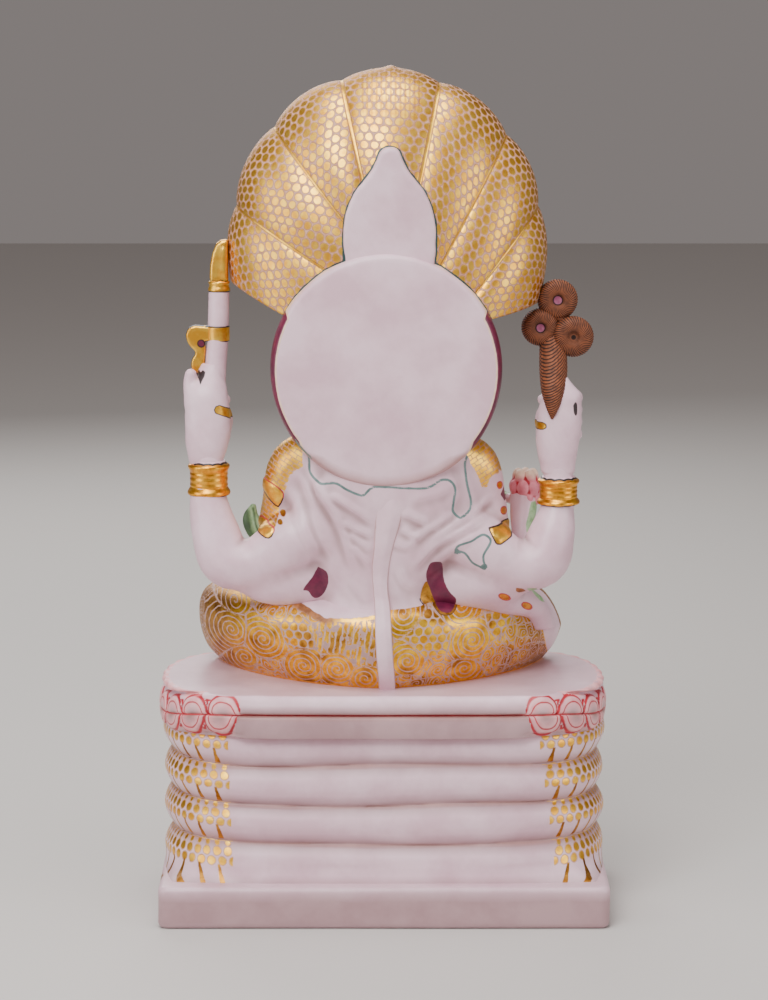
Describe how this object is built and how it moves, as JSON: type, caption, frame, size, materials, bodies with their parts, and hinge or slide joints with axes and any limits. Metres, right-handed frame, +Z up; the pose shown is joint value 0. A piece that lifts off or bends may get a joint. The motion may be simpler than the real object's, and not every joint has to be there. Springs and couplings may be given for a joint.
{
  "type": "marble deity figure",
  "caption": "Seated four-armed goddess in painted white marble on a lotus over a coiled serpent, with a round halo and a fan of serpent hoods, carved with its plinth.",
  "frame": {"origin": "centre of the plinth's underside, which is the centre of the bottom of the bounding box", "axes": "+Z up, -Y the way she faces, +X her left; the picture is taken from +Y, behind her"},
  "size_m": [0.4003, 0.2225, 0.755],
  "materials": {
    "painted_marble": "satin"
  },
  "bodies": {
    "root": {"padmavati_figure": "painted_marble"}
  },
  "joints": []
}
